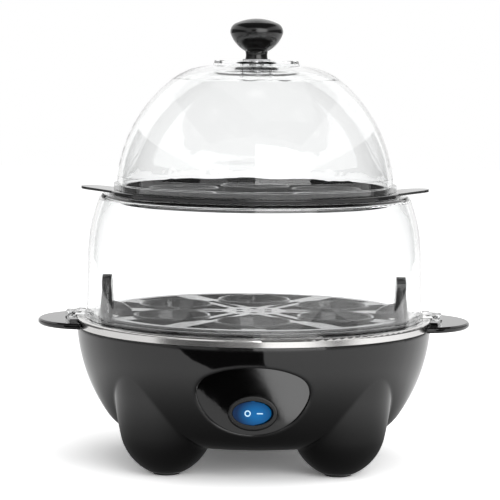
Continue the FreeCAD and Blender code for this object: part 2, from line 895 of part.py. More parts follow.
def cord_bush():
    """Round bush with its bore along Y, held in the boss at the back by a nut."""
    inner_end = bush_face_reach - bush_boss_depth - bush_nut_thickness
    outer_end = bush_face_reach + bush_flange_thickness
    edge = bush_flange_thickness / 3
    bush = lathe([(bush_bore_radius, inner_end), (bush_neck_radius, inner_end),
                  (bush_neck_radius, bush_face_reach), (bush_flange_radius, bush_face_reach),
                  (bush_flange_radius, outer_end - edge), (bush_flange_radius - edge, outer_end, edge / 4),
                  (bush_bore_radius, outer_end)])
    return along_back(bush)


def along_back(shape):
    """Shape turned about Z, laid along Y on the axis of the bush."""
    copy = shape.copy()
    copy.rotate(centre, Vector(1, 0, 0), -90)
    return moved(copy, Vector(0, 0, bush_height))


def bush_nut():
    start = bush_face_reach - bush_boss_depth - bush_nut_thickness
    nut = tube(bush_nut_radius, bush_neck_radius + running_gap, start, start + bush_nut_thickness)
    return along_back(nut)


def terminal_block():
    """Block of poles on the cover: a wire hole along Y and a screw well on top of each."""
    top = floor_top + block_height
    body = block(block_width, block_depth, floor_top, top, Vector(0, block_place, 0))
    wire_height = floor_top + block_height / 2
    cuts = []
    for pole in range(block_poles):
        across = (pole - (block_poles - 1) / 2) * block_pitch
        front = block_place - block_depth / 2
        cuts.append(Part.makeCylinder(block_bore_radius, block_depth + 2 * overrun,
                                      Vector(across, front - overrun, wire_height), Vector(0, 1, 0)))
        cuts.append(cylinder(block_bore_radius, wire_height, top + overrun, Vector(across, block_place, 0)))
    return body.cut(cuts)


def buzzer():
    """Round buzzer on the cover, over its sound hole."""
    edge = buzzer_height / 6
    body = lathe([(0, floor_top), (buzzer_radius, floor_top),
                  (buzzer_radius, floor_top + buzzer_height - edge),
                  (buzzer_radius - edge, floor_top + buzzer_height, edge / 4),
                  (0, floor_top + buzzer_height)])
    return moved(body.cut(cylinder(buzzer_port_radius, 0, floor_top + buzzer_height / 2)),
                 Vector(-buzzer_place, 0, 0))


def lead(points):
    """Insulated wire along straight runs joined by tangent arcs."""
    edges = []
    here = points[0]
    for before, corner, after in zip(points, points[1:], points[2:]):
        arriving = (corner - before).normalize()
        leaving = (after - corner).normalize()
        set_back = min(corner.distanceToPoint(before), corner.distanceToPoint(after)) * lead_share
        half_turn = arriving.getAngle(leaving) / 2
        radius = set_back / math.tan(half_turn)
        first = corner - arriving * set_back
        last = corner + leaving * set_back
        inward = (leaving - arriving).normalize()
        middle = corner + inward * (radius / math.cos(half_turn) - radius)
        edges.append(Part.LineSegment(here, first).toShape())
        edges.append(Part.Arc(first, middle, last).toShape())
        here = last
    edges.append(Part.LineSegment(here, points[-1]).toShape())
    section = Part.Wire(Part.makeCircle(lead_radius, points[0], points[1] - points[0]))
    return Part.Wire(edges).makePipeShell([section], True, False)


def switch_tab_tip(place):
    """Point just behind the end of a switch tab."""
    return facet.multVec(Vector(place, 0, switch_back - tab_length))


def block_port(pole):
    """Point at the front mouth of a terminal block pole."""
    return Vector(pole * block_pitch, block_place - block_depth / 2, floor_top + block_height / 2)


def feed_lead():
    return switch_run(-1)


def lamp_lead():
    return switch_run(1)


def switch_run(side):
    """Wire from the tip of a switch tab back to a pole of the terminal block."""
    tip = switch_tab_tip(side * switch_tab_spread)
    port = block_port(side)
    inward = facet.Rotation.multVec(Vector(0, 0, -1))
    span = (port.y - tip.y) / 4
    bend = tip + inward * span
    return lead([tip, bend, Vector(port.x, port.y - span, port.z), port])


def lower_seat(height):
    """Cone that one load sits in, open at the bottom."""
    top = plate_top + height + seat_stand
    bottom = plate_top - seat_drop
    return lathe([(seat_bottom_radius, bottom), (seat_bottom_radius + seat_wall, bottom),
                  (seat_bottom_radius + seat_flare + seat_wall, top - seat_wall / 2),
                  (seat_bottom_radius + seat_flare + seat_wall / 2, top, seat_wall / 6),
                  (seat_bottom_radius + seat_flare, top - seat_wall / 2, seat_wall / 6)])


def seat_bore(bottom_radius, bottom, top):
    """Cone-shaped hole that keeps a seat open."""
    return lathe([(0, bottom), (bottom_radius, bottom), (bottom_radius + seat_flare, top), (0, top)])


def tray_post():
    """Upright finger post: a fin that narrows to a round top, with a gusset towards the middle."""
    foot = plate_top + lower_tray_thickness / 2
    top = foot + post_height
    sections = []
    for width, thickness, height in ((post_foot_width, post_foot_thickness, foot),
                                     (post_top_width, post_top_thickness, top - post_top_width / 2)):
        plan = slot(width, thickness, 0, overrun)
        under = [face for face in plan.Faces if abs(face.BoundBox.ZMax) < running_gap][0]
        outline = under.OuterWire.copy()
        outline.rotate(centre, along_z, 90)
        outline.translate(Vector(post_place, 0, height))
        sections.append(outline)
    fin = Part.makeLoft(sections, True, True)
    cap = Part.makeCylinder(post_top_width / 2, post_top_thickness,
                            Vector(post_place - post_top_thickness / 2, 0, top - post_top_width / 2),
                            Vector(1, 0, 0))
    gusset = Part.Face(path([(post_place, foot), (post_place, foot + post_gusset_rise),
                             (post_place - post_gusset_reach, foot, post_gusset_bow), (post_place, foot)]))
    gusset = moved(gusset.extrude(Vector(0, housing_wall, 0)), Vector(0, -housing_wall / 2, 0))
    return joined([fin, cap, gusset])


def lower_tray():
    """Skeleton tray: a band on the ledge of the plate, six cone seats, a hub, spokes and two posts."""
    top = plate_top + lower_tray_thickness
    inner = lower_tray_radius - lower_tray_band
    band = tube(lower_tray_radius, inner, plate_top, top)
    hub = cylinder(hub_radius, plate_top, top)
    seats = []
    bores = []
    cone = lower_seat(lower_tray_thickness)
    bore = seat_bore(seat_bottom_radius, plate_top - seat_drop, plate_top + lower_tray_thickness + seat_stand)
    tie_length = inner + lower_tray_band / 2 - lower_pitch_radius
    tie_middle = Vector(lower_pitch_radius + tie_length / 2, 0, 0)
    tie = block(tie_length, spoke_width, plate_top, top, tie_middle)
    spoke_length = inner + lower_tray_band / 2
    spoke = block(spoke_length, spoke_width, plate_top, top, Vector(spoke_length / 2, 0, 0))
    rib_length = ledge_inner_radius - 2 * ledge_bend
    rib_middle = Vector(rib_length / 2, 0, 0)
    rib = block(rib_length, tray_rib_width, plate_top - tray_rib_depth, plate_top, rib_middle)
    for angle in spaced(seat_count, -90):
        seats.append(moved(cone, polar(lower_pitch_radius, angle)))
        bores.append(moved(bore, polar(lower_pitch_radius, angle)))
    half = 180 / seat_count
    ribs = [turned(rib, angle + half).cut(bores) for angle in spaced(seat_count, -90)]
    spokes = [turned(spoke, angle + half) for angle in spaced(seat_count, -90)]
    ties = [turned(tie, angle) for angle in spaced(seat_count, -90)]
    posts = [turned(tray_post(), angle) for angle in (0, 180)]
    slot_length = lower_pitch_radius - hub_radius
    steam_slot = slot(slot_length, spoke_slot_width, 0, big)
    steam_slot = moved(steam_slot, Vector(hub_radius + slot_length / 2, 0, 0))
    side_slots = [turned(steam_slot, angle + half) for angle in spaced(seat_count, -90)]
    hub_holes = [cylinder(spoke_slot_width / 2, 0, big, polar(hub_slot_radius, angle))
                 for angle in spaced(seat_count, -90)]
    bodies = joined([band, hub] + seats + spokes + ties)
    return joined([bodies.cut(bores + side_slots + hub_holes)] + ribs + posts)


def lower_dome():
    """Clear barrel: foot flange, upright wall that draws in to a shoulder, and a neck for the upper tray."""
    wall = turned_sheet([(barrel_radius, plate_top), (barrel_radius, barrel_flange_top),
                         (barrel_radius - barrel_bend_inset, barrel_bend_height),
                         (barrel_shoulder_radius, barrel_top_height - shoulder_round, barrel_bow),
                         (barrel_shoulder_radius - shoulder_round, barrel_top_height, shoulder_bow),
                         (neck_inner_radius, barrel_top_height)], barrel_sheet)
    neck = tube(neck_inner_radius + barrel_sheet, neck_inner_radius, barrel_top_height - neck_depth,
                barrel_top_height)
    flange = tube(barrel_radius + barrel_flange_reach, barrel_radius - barrel_sheet / 2, plate_top,
                  barrel_flange_top)
    ears = [turned(ear(), angle) for angle in (0, 180)]
    shape = joined([wall, neck, flange] + ears)
    bite = grip_top + (barrel_flange_top - grip_top) * (1 + screw_bite_share) / 2
    pilot = cylinder(small_screw_radius, grip_bottom, bite)
    return shape.cut([moved(pilot, polar(ear_screw_place, angle)) for angle in (0, 180)])


def ear():
    """Flat ear of the barrel that passes over the rim of the plate, with a block that stands on the grip."""
    root = barrel_radius - barrel_sheet / 2
    strap = block(ear_reach - root, 2 * ear_half_width, ear_bottom, barrel_flange_top,
                  Vector((ear_reach + root) / 2, 0, 0))
    inner = grip_root + body_gap
    foot = block(ear_reach - inner, 2 * ear_half_width, grip_top, barrel_flange_top,
                 Vector((ear_reach + inner) / 2, 0, 0))
    return joined([strap, foot])


def grip():
    """Crescent grip that hugs the rim: a flat blade with bevelled edges, and a ridge notched for the ear."""
    reach = grip_root + grip_depth - barrel_radius
    outlines = []
    for bevel, height in ((grip_bevel, grip_bottom), (0, grip_bottom + grip_bevel),
                          (0, grip_top - grip_bevel), (grip_bevel, grip_top)):
        half = grip_half_width - bevel
        outlines.append(oval_outline(reach - bevel, half, half, height))
    blade = Part.makeLoft(outlines, True, True)
    blade = moved(blade, Vector(barrel_radius, 0, 0)).cut(cylinder(grip_root, 0, big))
    top = ear_bottom
    outer = grip_root + ridge_width
    ridge = lathe([(grip_root, grip_bottom + grip_thickness / 2), (outer, grip_bottom + grip_thickness / 2),
                   (outer, top - ridge_round), (outer - ridge_round, top, quarter_bow(ridge_round)),
                   (grip_root, top)], ridge_turn)
    notch = block(big, 2 * (ear_half_width + fit_gap), grip_top, big)
    ridge = turned(ridge, -ridge_turn / 2).cut(notch)
    hole = cylinder(small_screw_radius + fit_gap, 0, big, Vector(ear_screw_place, 0, 0))
    well = cylinder(small_head_radius + fit_gap, 0, grip_screw_face, Vector(ear_screw_place, 0, 0))
    return joined([blade, ridge]).cut([hole, well])


def grip_screws():
    length = grip_top + (barrel_flange_top - grip_top) * screw_bite_share - grip_screw_face
    return [screw(small_head_radius, small_head_height, small_screw_radius - running_gap, length,
                  polar(ear_screw_place, angle), grip_screw_face) for angle in (0, 180)]


def upper_seat():
    top = upper_rim_top
    bottom = upper_floor_bottom
    return lathe([(upper_seat_bottom_radius, bottom), (upper_seat_bottom_radius + seat_wall, bottom),
                  (upper_seat_bottom_radius + seat_flare + seat_wall, top - seat_wall / 2),
                  (upper_seat_bottom_radius + seat_flare + seat_wall / 2, top, seat_wall / 6),
                  (upper_seat_bottom_radius + seat_flare, top - seat_wall / 2, seat_wall / 6)])


def wing():
    """Flat lifting wing with a round outline, which thins and rises to its tip."""
    root = upper_rim_radius - 2 * upper_rim_thickness
    root_inset = upper_rim_thickness / 4
    low = barrel_top_height + root_inset
    end = wing_reach + overrun
    tip = upper_rim_top + wing_tip_rise
    half = wing_half_width + overrun
    side = Part.Face(path([(root, low), (end, tip - wing_tip_thickness, -wing_tip_rise / 4), (end, tip),
                           (root, upper_rim_top - root_inset, wing_tip_rise / 4), (root, low)], -half))
    strip = side.extrude(Vector(0, 2 * half, 0))
    reach = wing_reach - root
    plan = moved(turned(oval(wing_half_width, reach, reach, 0, big), -90), Vector(root, 0, 0))
    return strip.common(plan)


def upper_tray():
    """Shallow tray in the neck of the barrel: rim, lip, skirt, floor with six cone seats, and two wings."""
    rounding = upper_rim_thickness / 3
    inner = upper_lip_radius - seat_wall
    rim = lathe([(inner, barrel_top_height), (upper_rim_radius, barrel_top_height),
                 (upper_rim_radius, upper_rim_top - rounding),
                 (upper_rim_radius - rounding, upper_rim_top, quarter_bow(rounding)),
                 (inner, upper_rim_top)])
    lip = tube(upper_lip_radius, inner, upper_rim_top - seat_wall, upper_rim_top + upper_lip_rise)
    skirt = tube(upper_skirt_radius, upper_skirt_radius - seat_wall, barrel_top_height - upper_skirt_depth,
                 upper_rim_top)
    floor = cylinder(upper_skirt_radius - seat_wall / 2, upper_floor_bottom,
                     upper_floor_bottom + upper_floor_thickness)
    cone = upper_seat()
    bore = seat_bore(upper_seat_bottom_radius, upper_floor_bottom, upper_rim_top)
    seats = []
    cuts = []
    for angle in spaced(seat_count, -90):
        place = polar(upper_pitch_radius, angle)
        seats.append(moved(cone, place))
        cuts.append(moved(bore, place))
    steam_slot = turned(slot(steam_slot_length, steam_slot_width, 0, big), 90)
    for angle in spaced(steam_slot_count, -90 + 180 / seat_count):
        cuts.append(turned(moved(steam_slot, Vector(steam_slot_place, 0, 0)), angle))
        cuts.append(cylinder(steam_slot_width / 2, 0, big, polar(hub_slot_radius, angle)))
    wings = [turned(wing(), angle) for angle in (0, 180)]
    return joined([joined([rim, lip, skirt, floor] + seats).cut(cuts)] + wings)


def lid_dome():
    """Clear lid: foot band, half-round wall, a flat cap and a short boss for the knob screw."""
    wall = turned_sheet([(lid_radius, upper_rim_top), (lid_radius, lid_waist_height),
                         (lid_shoulder_radius, lid_shoulder_height, lid_side_bow),
                         (lid_cap_radius, lid_cap_height - lid_cap_step, lid_crown_bow),
                         (lid_cap_radius - lid_sheet / 2, lid_cap_height),
                         (0, lid_cap_height)], lid_sheet)
    band = tube(lid_radius + lid_band_reach, lid_radius - lid_sheet / 2, upper_rim_top,
                upper_rim_top + lid_band_height)
    under = lid_cap_height - lid_sheet
    boss = tube(lid_boss_radius, lid_boss_radius - lid_boss_wall, under - lid_boss_depth,
                under + lid_sheet / 2)
    holes = [cylinder(steam_hole_radius, lid_shoulder_height, big, polar(steam_hole_place, angle))
             for angle in spaced(steam_hole_count)]
    holes.append(cylinder(knob_bore_radius + fit_gap, lid_shoulder_height, big))
    return joined([wall, band, boss]).cut(holes)


def knob_washer():
    return tube(knob_washer_radius, knob_bore_radius + fit_gap, lid_cap_height, knob_foot)


def lid_knob():
    """Mushroom knob: domed crown, round under side and a short neck."""
    neck_top = knob_foot + knob_neck_height
    top = knob_foot + knob_height
    knob = lathe([(0, knob_foot), (knob_neck_radius, knob_foot), (knob_neck_radius, neck_top, knob_waist_bow),
                  (knob_radius, top - knob_crown_height, knob_under_bow),
                  (knob_crown_radius, top - knob_crown_rise, knob_side_bow),
                  (0, top, crown_bow(knob_crown_radius, knob_crown_rise))])
    return knob.cut(cylinder(knob_bore_radius, knob_foot - overrun, knob_foot + knob_bore_depth))


def knob_screw():
    face = lid_cap_height - lid_sheet
    return screw(knob_screw_head_radius, knob_screw_head_height, knob_bore_radius - running_gap,
                 knob_screw_length, centre, face)


nodes = {
    "lid_dome": lid_dome,
    "lid_knob": lid_knob,
    "knob_washer": knob_washer,
    "knob_screw": knob_screw,
    "upper_tray": upper_tray,
    "lower_dome": lower_dome,
    "grip_right": grip,
    "grip_left": lambda: turned(grip(), 180),
    "grip_screws": grip_screws,
    "lower_tray": lower_tray,
    "heating_plate": heating_plate,
    "plate_seal": plate_seal,
    "heat_spreader": heat_spreader,
    "heating_element": heating_element,
    "element_terminals": element_terminals,
    "thermostat": thermostat,
    "thermostat_clip": thermostat_clip,
    "clip_screws": clip_screws,
    "thermal_fuse": thermal_fuse,
    "fuse_clip": fuse_clip,
    "plate_bridge": plate_bridge,
    "bridge_nuts": bridge_nuts,
    "bridge_screws": bridge_screws,
    "base_housing": base_housing,
    "control_panel": control_panel,
    "switch_bezel": switch_bezel,
    "switch_rocker": rocker,
    "switch_body": switch_body,
    "switch_terminals": switch_terminals,
    "switch_lamp": switch_lamp,
    "cord_bush": cord_bush,
    "bush_nut": bush_nut,
    "terminal_block": terminal_block,
    "buzzer": buzzer,
    "feed_lead": feed_lead,
    "lamp_lead": lamp_lead,
    "bottom_cover": bottom_cover,
    "cover_screws": cover_screws,
    "foot_pads": foot_pads,
}

os.makedirs("parts", exist_ok=True)
for name, make in nodes.items():
    shape = make()
    if isinstance(shape, list):
        shape = Part.makeCompound(shape)
    shape.exportStep("parts/" + name + ".step")
    print(name, len(shape.Solids), "solids,", round(shape.Volume), "cubic mm, valid", shape.isValid())
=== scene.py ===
# %% [markdown]
# A two-tier egg cooker: a black bowl on four rounded legs with a lit switch, a steel water plate, a black tray under
# a clear barrel, a second tray with two wings, and a clear lid with a black knob. The moulded and pressed parts come
# from the engineering model. They could be modelled again here, but then the picture and the part that is made would
# drift apart, so this lesson keeps their shapes and adds finishes, light and the small details that a hand notices.
# Everything is in metres, with the feet on z = 0 and the switch facing -Y.

# %% Open the model
import bpy
import bmesh
import json
import math
from mathutils import Euler, Matrix, Vector


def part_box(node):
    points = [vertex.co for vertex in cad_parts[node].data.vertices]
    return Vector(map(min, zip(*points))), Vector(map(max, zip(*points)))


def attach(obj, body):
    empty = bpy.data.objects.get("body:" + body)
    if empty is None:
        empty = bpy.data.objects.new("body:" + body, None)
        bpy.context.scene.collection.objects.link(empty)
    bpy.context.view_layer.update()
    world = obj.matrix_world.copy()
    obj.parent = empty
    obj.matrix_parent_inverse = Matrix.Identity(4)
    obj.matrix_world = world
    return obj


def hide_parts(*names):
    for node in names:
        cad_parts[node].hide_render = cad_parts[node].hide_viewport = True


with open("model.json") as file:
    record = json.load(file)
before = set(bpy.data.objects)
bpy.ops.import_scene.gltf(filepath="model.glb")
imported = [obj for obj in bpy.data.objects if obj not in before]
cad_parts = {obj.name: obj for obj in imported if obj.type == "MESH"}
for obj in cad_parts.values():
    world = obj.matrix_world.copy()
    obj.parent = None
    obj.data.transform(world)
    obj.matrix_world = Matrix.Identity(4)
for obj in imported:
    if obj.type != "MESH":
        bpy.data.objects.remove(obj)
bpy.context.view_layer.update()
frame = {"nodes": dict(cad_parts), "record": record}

scene = bpy.context.scene
nodes = frame["nodes"]

# %% [markdown]
# The picture was taken from straight in front with a long lens, with the eye level with the foot of the knob and
# tilted down until the feet come into view. A camera can be turned by hand until the frame looks right. Here the tilt
# and the swing are worked out from two things that can be read off the picture, the row of the horizon and the column
# of the cooker's axis, so that each number can be checked. The camera was not quite level, so a small roll is part
# of the match.

# %% Place the camera
picture_width = 500
lens_pixels = 2037
camera_distance = 1.1
eye_height = 0.216
horizon_row = 61
axis_column = 254.5
roll_degrees = 0.6
sensor_millimetres = 36


def add_object(name, data):
    """New object in the scene, from a mesh, a camera or a light."""
    thing = bpy.data.objects.new(name, data)
    scene.collection.objects.link(thing)
    return thing


camera_data = bpy.data.cameras.new("picture_camera")
camera_data.sensor_width = sensor_millimetres
camera_data.lens = sensor_millimetres * lens_pixels / picture_width
camera = add_object("picture_camera", camera_data)
tilt_down = math.atan((picture_width / 2 - horizon_row) / lens_pixels)
swing = math.atan((axis_column - picture_width / 2) / lens_pixels)
aim = Euler((math.pi / 2 - tilt_down, 0, swing)).to_matrix().to_4x4()
roll = Matrix.Rotation(math.radians(roll_degrees), 4, "Z")
camera.matrix_world = Matrix.Translation((0, -camera_distance, eye_height)) @ aim @ roll
scene.camera = camera
print("lens", round(camera_data.lens, 1), "mm, tilted down", round(math.degrees(tilt_down), 2), "degrees")

# %% [markdown]
# A finish is a small graph of nodes. It can be wired by hand in the shader editor, but a script is shorter when the
# steps that come back have a name. The first helper adds a node together with its settings. The second starts a
# material on the general surface shader, which covers plastic, metal and glass alike.

# %% Helpers that start a finish
def add_node(tree, kind, **settings):
    """Node of a kind with its settings and input values."""
    node = tree.nodes.new(kind)
    for name, value in settings.items():
        if name in node.inputs:
            node.inputs[name].default_value = value
        else:
            setattr(node, name, value)
    return node


def start_finish(name, colour, roughness, metallic=0.0):
    """Material with one surface shader. Returns the material, its node tree and the shader."""
    finish = bpy.data.materials.new(name)
    finish.use_nodes = True
    tree = finish.node_tree
    shader = tree.nodes["Principled BSDF"]
    shader.inputs["Base Color"].default_value = (*colour, 1)
    shader.inputs["Roughness"].default_value = roughness
    shader.inputs["Metallic"].default_value = metallic
    return finish, tree, shader


print("general shader ready")

# %% [markdown]
# No real surface is the same all over. The variation could be painted on a picture that is wrapped round each part,
# but then every part would need its seams laid out. A procedural texture needs none: it fills space, and the object's
# own coordinates are in metres, so the size of its blotches can be given as on the real thing. Noise is a number
# from nought to one at each point, and another helper spreads it over the values that a finish needs.

# %% Helpers for textures
noise_middle = (0.3, 0.7)
fine_detail = 3.0


def noise(tree, size, detail=2.0):
    """Noise whose blotches are about a given size in metres."""
    place = add_node(tree, "ShaderNodeTexCoord")
    texture = add_node(tree, "ShaderNodeTexNoise", Scale=1 / size, Detail=detail)
    tree.links.new(place.outputs["Object"], texture.inputs["Vector"])
    return texture.outputs["Fac"]


def spread(tree, source, low, high):
    """Turns the middle range of a texture into a range of values."""
    ramp = add_node(tree, "ShaderNodeMapRange")
    for name, value in zip(("From Min", "From Max", "To Min", "To Max"), (*noise_middle, low, high)):
        ramp.inputs[name].default_value = value
    tree.links.new(source, ramp.inputs["Value"])
    return ramp.outputs["Result"]


print("noise stays between", *noise_middle, "on most of a surface")

# %% [markdown]
# A texture can also blend two colours or raise the surface. A height could move the faces themselves, but ripples of
# a few thousandths of a millimetre would need millions of them, so they go into the shading alone. The same is true
# of sharp corners: a radius in the shading catches light like a rounded edge.

# %% Helpers for colour and relief
bevel_samples = 8


def tint(tree, source, dark, light):
    """Turns a texture into a blend of two colours."""
    blend = add_node(tree, "ShaderNodeMix", data_type="RGBA")
    blend.inputs["A"].default_value = (*dark, 1)
    blend.inputs["B"].default_value = (*light, 1)
    tree.links.new(source, blend.inputs["Factor"])
    return blend.outputs["Result"]


def bump(tree, shader, source, height, edge=0.0):
    """Raises the surface by a texture, to a real height. An edge radius also softens sharp corners."""
    node = add_node(tree, "ShaderNodeBump", Strength=1.0, Distance=height)
    tree.links.new(source, node.inputs["Height"])
    tree.links.new(node.outputs["Normal"], shader.inputs["Normal"])
    if edge > 0:
        soft = add_node(tree, "ShaderNodeBevel", samples=bevel_samples, Radius=edge)
        tree.links.new(soft.outputs["Normal"], node.inputs["Normal"])


print("edges are softened with", bevel_samples, "samples")

# %% [markdown]
# The bowl, the knob and the grips are moulded in a black plastic that leaves the polished tool like a mirror. One
# black of one roughness is quickly made, but it looks lifeless. The real surface is nearly black with a sharp
# reflection, and handling leaves patches where it is a little duller, so only the roughness varies here. A moulding
# has no knife edges either. Rounding each edge in the model would cost many faces, so the shading rounds them. The
# bowl has the softest corners, its panel the best polish, and hands dull the knob. Each line of the table gives a
# roughness and the radius of the edges.

# %% Gloss black plastic
finishes = {}
plastic_ior = 1.56
mirror_black = (0.0016, 0.0015, 0.0016)
handled_patch, handled_smoother, handled_duller = 0.035, 0.02, 0.03
mould_ripple, mould_ripple_height = 0.006, 0.000004


def gloss_black(name, roughness, edge):
    finish, tree, shader = start_finish(name, mirror_black, roughness)
    shader.inputs["IOR"].default_value = plastic_ior
    patches = noise(tree, handled_patch, fine_detail)
    patches = spread(tree, patches, roughness - handled_smoother, roughness + handled_duller)
    tree.links.new(patches, shader.inputs["Roughness"])
    bump(tree, shader, noise(tree, mould_ripple), mould_ripple_height, edge)
    return finish


gloss_blacks = {
    "gloss_black": (0.05, 0.0006),
    "bowl_black": (0.06, 0.003),
    "panel_black": (0.025, 0.0002),
    "knob_black": (0.20, 0.0006),
}
for name, (roughness, edge) in gloss_blacks.items():
    finishes[name] = gloss_black(name, roughness, edge)
print("gloss black in", len(gloss_blacks), "polishes")

# %% [markdown]
# The trays are moulded in the same plastic out of a tool with a fine spark texture, so they are a little duller than
# the bowl, and seen from low they still mirror the white room. The bottom cover, the bush and the switch are duller
# still. A separate material could be written for each, but they differ only in what each line of the table gives:
# the colour, the roughness and, where it isn't the usual one, the strength of the shine. The duller the plastic, the
# deeper is its texture.

# %% Satin black plastic
spark_grain, spark_depth = 0.0006, 0.00006
satin_patch, satin_smoother, satin_duller = 0.02, 0.04, 0.06
satin_edge = 0.0004


def satin_black(name, colour, roughness, shine=0.5):
    finish, tree, shader = start_finish(name, colour, roughness)
    shader.inputs["IOR"].default_value = plastic_ior
    shader.inputs["Specular IOR Level"].default_value = shine
    bump(tree, shader, noise(tree, spark_grain), spark_depth * roughness, satin_edge)
    patches = spread(tree, noise(tree, satin_patch), roughness - satin_smoother, roughness + satin_duller)
    tree.links.new(patches, shader.inputs["Roughness"])
    return finish


satin_blacks = {
    "tray_black": ((0.006, 0.006, 0.0065), 0.10),
    "bezel_black": ((0.003, 0.003, 0.003), 0.22, 0.3),
    "switch_black": ((0.030, 0.030, 0.032), 0.42),
    "bush_black": ((0.022, 0.022, 0.022), 0.45),
    "cover_black": ((0.022, 0.022, 0.024), 0.48),
}
for name, settings in satin_blacks.items():
    finishes[name] = satin_black(name, *settings)
print("satin black in", len(satin_blacks), "textures")

# %% [markdown]
# The barrel and the lid are clear moulded plastic, about two millimetres thick. A thin see-through sheet would render
# faster, but it would not bend the light. The walls are real solids in the model, so here the light bends on both
# faces as in the real part, and the rims and the foot ring turn dark and bright by themselves. The plastic is left
# almost without colour.

# %% Clear plastic
clear_colour = (0.985, 0.99, 0.99)
clear_ior = 1.46


def clear_plastic():
    finish, tree, shader = start_finish("clear_plastic", clear_colour, 0.0)
    shader.inputs["Transmission Weight"].default_value = 1.0
    shader.inputs["IOR"].default_value = clear_ior
    return finish


finishes["clear_plastic"] = clear_plastic()
print("clear plastic bends light by", clear_ior)

# %% [markdown]
# The water plate is pressed stainless steel. It is polished while it spins, which leaves very fine rings round its
# axis. Stretched reflections can be had from the shader's anisotropy, but that needs a direction at every point of
# the mesh. A bump of rings about the axis needs only the object's own coordinates. Use dulls the polish in patches.

# %% Polished steel plate
steel_colour = (0.70, 0.69, 0.68)
steel_roughness = (0.13, 0.16, 0.20)
steel_patch = 0.03
rings_per_metre, ring_wander, ring_depth = 900.0, 3.0, 0.000003


def spun_steel():
    low, middle, high = steel_roughness
    finish, tree, shader = start_finish("plate_steel", steel_colour, middle, metallic=1.0)
    place = add_node(tree, "ShaderNodeTexCoord")
    rings = add_node(tree, "ShaderNodeTexWave", wave_type="RINGS", rings_direction="Z", Scale=rings_per_metre,
                     Distortion=ring_wander)
    tree.links.new(place.outputs["Object"], rings.inputs["Vector"])
    bump(tree, shader, rings.outputs["Fac"], ring_depth)
    patches = spread(tree, noise(tree, steel_patch, fine_detail), low, high)
    tree.links.new(patches, shader.inputs["Roughness"])
    return finish


finishes["plate_steel"] = spun_steel()
print("steel roughness", steel_roughness)

# %% [markdown]
# The small metal parts are zinc plated, cast or drawn, and each kind has a grain of its own size. One bright metal
# for all would do in a distant view, but these parts lie side by side under the water plate and should be told
# apart. One function makes them all, from two colours, the roughness, the size of the grain and its depth.

# %% Plain metals
def grained(name, dark, light, roughness, grain, depth, metallic=0.0):
    """Finish whose colour and height vary together, by a grain of a given size and depth."""
    finish, tree, shader = start_finish(name, light, roughness, metallic)
    source = noise(tree, grain, fine_detail)
    tree.links.new(tint(tree, source, dark, light), shader.inputs["Base Color"])
    bump(tree, shader, source, depth)
    return finish


metals = {
    "spreader_aluminium": ((0.55, 0.56, 0.58), (0.74, 0.75, 0.77), 0.42, 0.003, 0.00004),
    "element_steel": ((0.26, 0.24, 0.23), (0.44, 0.42, 0.40), 0.38, 0.004, 0.00001),
    "tab_brass": ((0.62, 0.46, 0.22), (0.76, 0.60, 0.32), 0.30, 0.003, 0.000005),
    "sheet_steel": ((0.46, 0.47, 0.48), (0.64, 0.65, 0.66), 0.33, 0.005, 0.000005),
    "screw_steel": ((0.52, 0.52, 0.53), (0.68, 0.68, 0.69), 0.27, 0.0015, 0.000005),
}
for name, settings in metals.items():
    finishes[name] = grained(name, *settings, metallic=1.0)
print(len(metals), "metals:", ", ".join(metals))

# %% [markdown]
# Rubber, ceramic and the insulation of the leads are dull. What tells them apart is their colour and how coarse they
# feel, so the same function makes them, without the metal. The foot pads are the coarsest, because soft black rubber
# comes out of its tool with a skin like fine sandpaper.

# %% Dull finishes
dull_finishes = {
    "seal_rubber": ((0.55, 0.55, 0.56), (0.66, 0.66, 0.67), 0.50, 0.002, 0.00002),
    "pad_rubber": ((0.035, 0.035, 0.036), (0.055, 0.055, 0.056), 0.70, 0.001, 0.00004),
    "thermostat_ceramic": ((0.70, 0.67, 0.60), (0.80, 0.78, 0.72), 0.6, 0.0015, 0.00002),
    "fuse_ceramic": ((0.80, 0.78, 0.73), (0.87, 0.86, 0.81), 0.5, 0.0015, 0.00001),
    "block_white": ((0.70, 0.70, 0.68), (0.80, 0.80, 0.78), 0.45, 0.002, 0.00001),
    "lead_brown": ((0.12, 0.06, 0.03), (0.20, 0.10, 0.05), 0.40, 0.002, 0.00001),
    "lead_blue": ((0.03, 0.08, 0.30), (0.05, 0.12, 0.40), 0.40, 0.002, 0.00001),
}
for name, settings in dull_finishes.items():
    finishes[name] = grained(name, *settings)
print(len(dull_finishes), "dull finishes:", ", ".join(dull_finishes))

# %% [markdown]
# The rocker is a blue lens with a small lamp behind it, so it glows most over the lamp and is deep blue at its ends.
# A real lamp inside a see-through lens would need many samples to look clean. Here the lens itself gives off light,
# less and less with the distance from the lamp's place, which is a little to the right of the middle.

# %% Lit blue lens
lens_colour, lens_roughness = (0.003, 0.02, 0.06), 0.14
lens_shine = 0.2
lamp_offset = 0.0030
glow_reach = (0.0115, 0.0115, 0.0085)
glow_end = (0.0, 0.006, 0.03)
lens_glow, lens_strength = (0.004, 0.24, 0.66), 1.0
lamp_glow, lamp_strength = (0.20, 0.60, 1.0), 3.0
lens_low, lens_high = (Vector(corner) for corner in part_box("switch_rocker"))
lens_middle = (lens_low + lens_high) / 2


def falloff(tree, middle, reach):
    """One at a point, fading to nought at its reach along each axis."""
    place = add_node(tree, "ShaderNodeTexCoord")
    mapping = add_node(tree, "ShaderNodeMapping", vector_type="TEXTURE", Location=middle, Scale=reach)
    ball = add_node(tree, "ShaderNodeTexGradient", gradient_type="SPHERICAL")
    tree.links.new(place.outputs["Object"], mapping.inputs["Vector"])
    tree.links.new(mapping.outputs["Vector"], ball.inputs["Vector"])
    return ball.outputs["Fac"]


